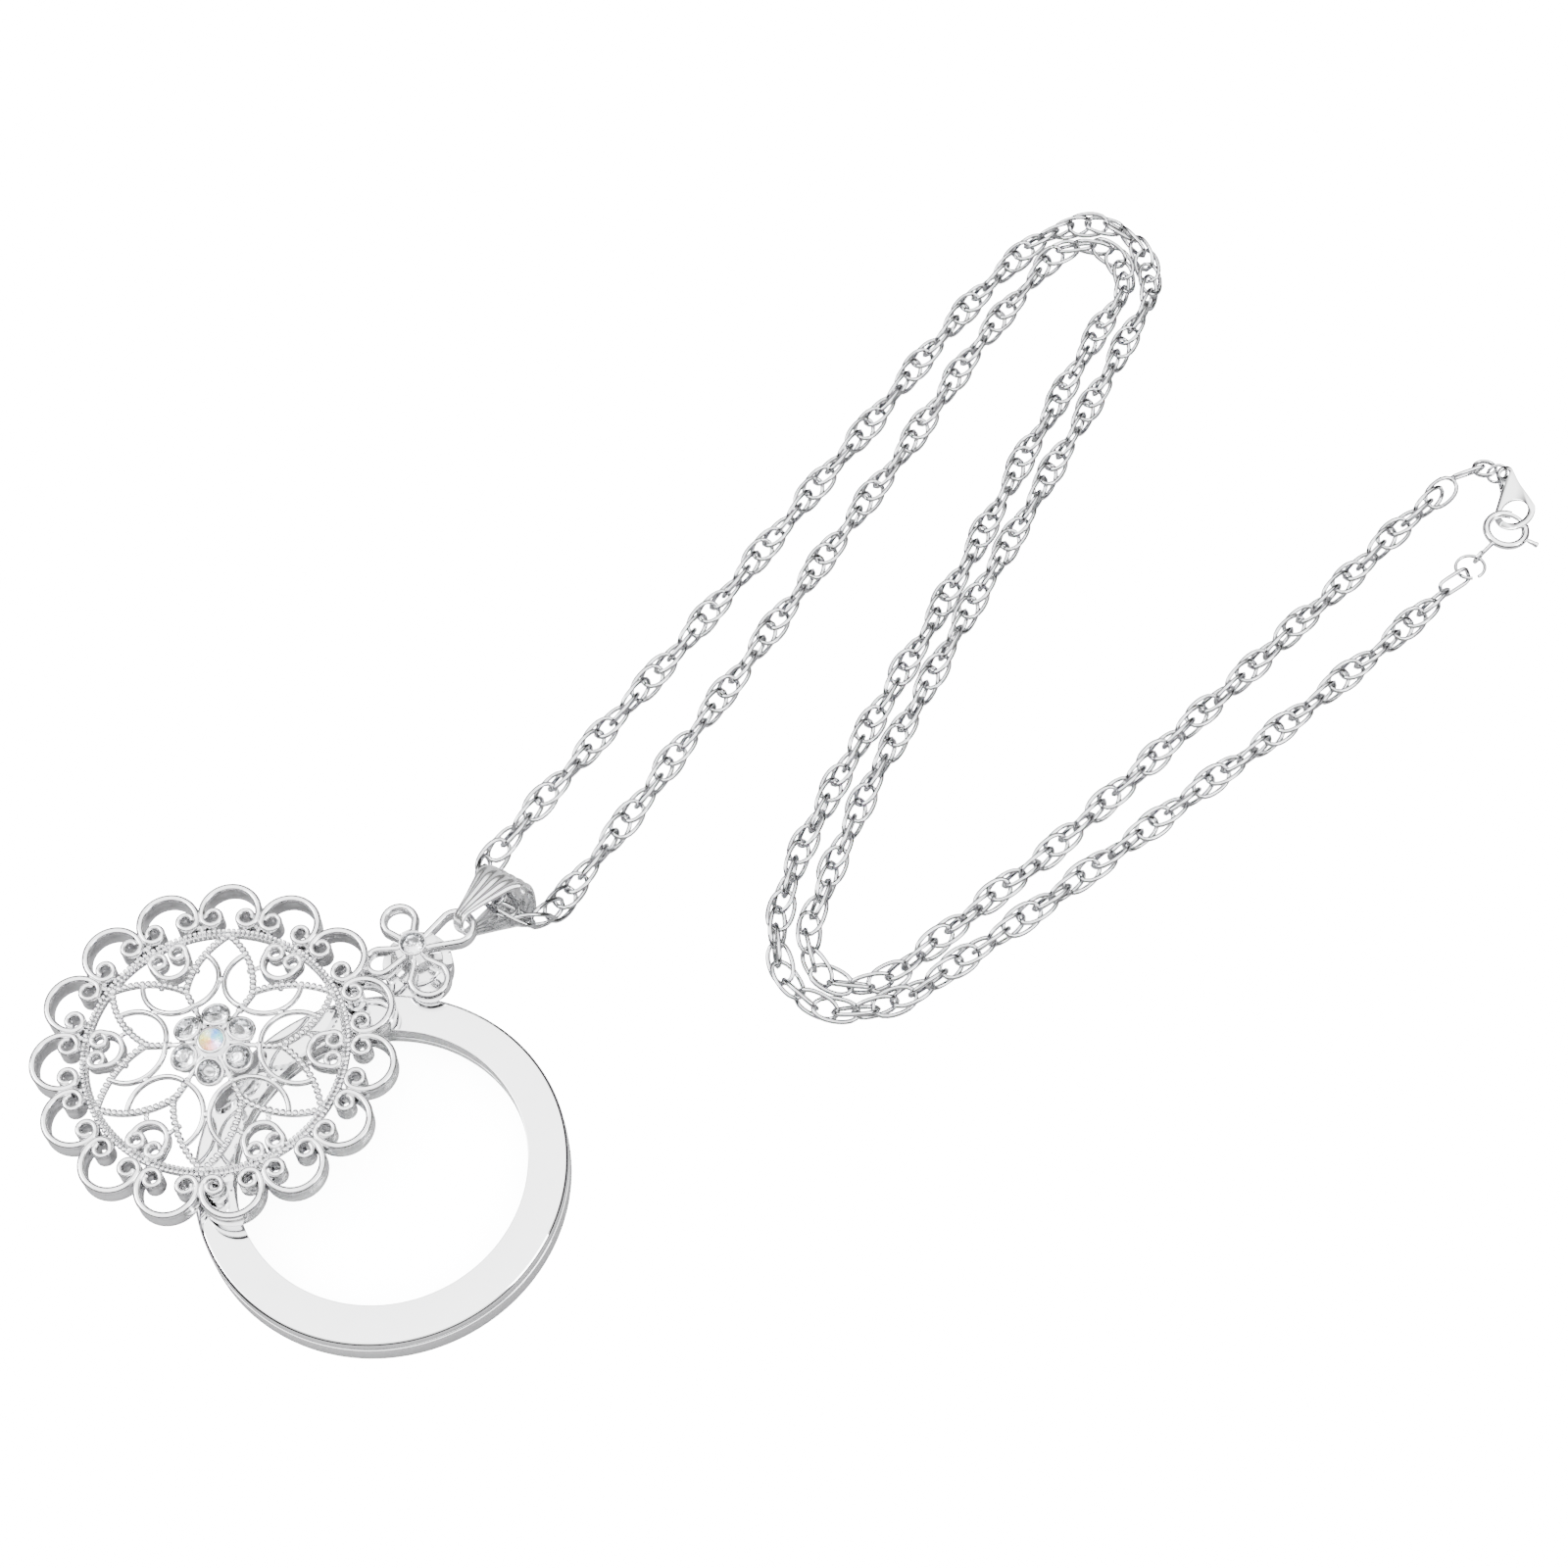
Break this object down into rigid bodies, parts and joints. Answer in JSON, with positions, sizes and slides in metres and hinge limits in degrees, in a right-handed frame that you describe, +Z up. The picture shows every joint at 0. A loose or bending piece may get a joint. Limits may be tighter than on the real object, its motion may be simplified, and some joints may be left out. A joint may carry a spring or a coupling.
{
  "type": "magnifier pendant necklace",
  "caption": "Round folding magnifier under a pierced scalloped medallion with set crystals, hung by a fluted bail on a folded rope-link chain with a spring ring clasp.",
  "frame": {"origin": "where the swing axis of the lens meets the surface that the necklace lies on, under the flower", "axes": "+Z up from the surface along the swing axis, +X towards the clasp end, +Y away from the lens"},
  "size_m": [0.1906, 0.1688, 0.0107],
  "materials": {
    "silver_plate": "bright silver-tone plating",
    "silver_casting": "bright silver-tone plated casting",
    "silver_frame": "polished silver-tone plating",
    "lens_glass": "clear, polished",
    "clear_crystal": "clear, faceted, foiled behind",
    "rainbow_crystal": "clear with a pale rainbow coating, faceted"
  },
  "bodies": {
    "pendant": {"medallion": "silver_casting", "centre_stone": "rainbow_crystal", "cluster_stone_1": "clear_crystal", "cluster_stone_2": "clear_crystal", "cluster_stone_3": "clear_crystal", "cluster_stone_4": "clear_crystal", "cluster_stone_5": "clear_crystal", "cluster_stone_6": "clear_crystal", "flower_stone": "clear_crystal", "bail": "silver_plate", "chain_upper": "silver_plate", "chain_lower": "silver_plate", "long_link": "silver_plate", "jump_ring": "silver_plate", "spring_ring": "silver_plate", "tag": "silver_plate", "tag_ring": "silver_plate", "split_ring": "silver_plate", "end_link": "silver_plate"},
    "swing_lens": {"lens_frame": "silver_frame", "lens_rim": "silver_frame", "lens": "lens_glass", "pivot_rivet": "silver_plate"},
    "bolt": {"spring_bolt": "silver_plate"}
  },
  "joints": [
    {"name": "lens_swing", "type": "hinge", "parent": "pendant", "child": "swing_lens", "pos_m": [0, 0, 0.0028], "axis": [0, 0, 1], "range_deg": [-54, 45]},
    {"name": "bolt_slide", "type": "hinge", "parent": "pendant", "child": "bolt", "pos_m": [0.1422, 0.0654, 0.00125], "axis": [0, 0, 1], "range_deg": [-42, 0], "stiffness_Nm_per_rad": 0.004, "springref_deg": 11.46}
  ]
}
